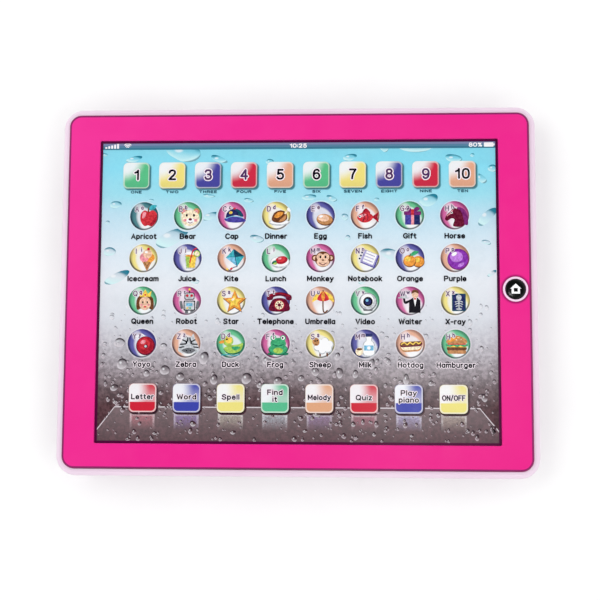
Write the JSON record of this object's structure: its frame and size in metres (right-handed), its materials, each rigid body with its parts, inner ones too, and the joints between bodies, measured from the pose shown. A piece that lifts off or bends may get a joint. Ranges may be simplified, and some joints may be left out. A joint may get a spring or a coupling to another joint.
{
  "type": "toy learning tablet",
  "caption": "Child's electronic learning tablet: printed touch panel in a pink bezel, white rear shell, home button, speaker grille and hinged battery door.",
  "frame": {"origin": "centre of the flat back, on the surface that the tablet lies on", "axes": "+X along the long side, towards the home button; +Y to the top of the printed picture; +Z out of the touch panel"},
  "size_m": [0.24, 0.186, 0.022],
  "materials": {
    "shell_plastic": "smooth, slightly glossy",
    "bezel_plastic": "smooth satin gloss",
    "overlay_print": "printed film, glossy",
    "circuit_film": "clear film with printed tracks",
    "plate_plastic": "moulded, plain",
    "ring_plastic": "glossy",
    "button_plastic": "polished",
    "icon_plastic": "glossy",
    "dome_rubber": "silicone",
    "circuit_board": "solder-resist sheen",
    "chip_resin": "cured resin",
    "capacitor_sleeve": "shrink sleeve",
    "bright_metal": "plated",
    "speaker_metal": "zinc plated",
    "cone_paper": "pressed paper",
    "cell_jacket": "printed jacket",
    "screw_steel": "zinc plated",
    "red_lead": "insulation",
    "black_lead": "insulation"
  },
  "bodies": {
    "tablet": {"rear_shell": "shell_plastic", "front_bezel": "bezel_plastic", "printed_overlay": "overlay_print", "upper_circuit_film": "circuit_film", "spacer_film": "circuit_film", "lower_circuit_film": "circuit_film", "backing_plate": "plate_plastic", "home_button_ring": "ring_plastic", "home_button_dome": "dome_rubber", "home_button_board": "circuit_board", "home_board_screw_1": "screw_steel", "home_board_screw_2": "screw_steel", "main_board": "circuit_board", "processor_blob": "chip_resin", "amplifier_chip": "chip_resin", "capacitor_1": "capacitor_sleeve", "capacitor_2": "capacitor_sleeve", "crystal": "bright_metal", "tail_clamp": "plate_plastic", "tail_clamp_screw_1": "screw_steel", "tail_clamp_screw_2": "screw_steel", "main_board_screw_1": "screw_steel", "main_board_screw_2": "screw_steel", "speaker_frame": "speaker_metal", "speaker_magnet": "speaker_metal", "speaker_surround": "cone_paper", "speaker_screw_1": "screw_steel", "speaker_screw_2": "screw_steel", "battery_1": "cell_jacket", "battery_2": "cell_jacket", "battery_3": "cell_jacket", "battery_contact_positive": "bright_metal", "battery_contact_bridge_1": "bright_metal", "battery_contact_bridge_2": "bright_metal", "battery_contact_negative": "bright_metal", "case_screw_1": "screw_steel", "case_screw_2": "screw_steel", "case_screw_3": "screw_steel", "case_screw_4": "screw_steel", "case_screw_5": "screw_steel", "case_screw_6": "screw_steel", "battery_lead_positive": "red_lead", "battery_lead_negative": "black_lead", "speaker_lead_1": "red_lead", "speaker_lead_2": "black_lead", "button_lead_1": "red_lead", "button_lead_2": "black_lead"},
    "home_button": {"home_button_cap": "button_plastic", "home_button_icon": "icon_plastic"},
    "battery_door": {"battery_door": "shell_plastic", "battery_door_screw": "screw_steel"},
    "speaker_cone": {"speaker_cone": "cone_paper"}
  },
  "joints": [
    {"name": "home_button_press", "type": "slide", "parent": "tablet", "child": "home_button", "axis": [0, 0, -1], "range_m": [0, 0.0008], "stiffness_N_per_m": 600, "springref_m": -0.002, "deforming": ["home_button_dome"]},
    {"name": "battery_door_swing", "type": "hinge", "parent": "tablet", "child": "battery_door", "pos_m": [-0.0364, -0.036, 0], "axis": [0, 1, 0], "range_deg": [0, 70]},
    {"name": "speaker_cone_travel", "type": "slide", "parent": "tablet", "child": "speaker_cone", "axis": [0, 0, 1], "range_m": [-0.0003, 0.0003], "stiffness_N_per_m": 80}
  ]
}
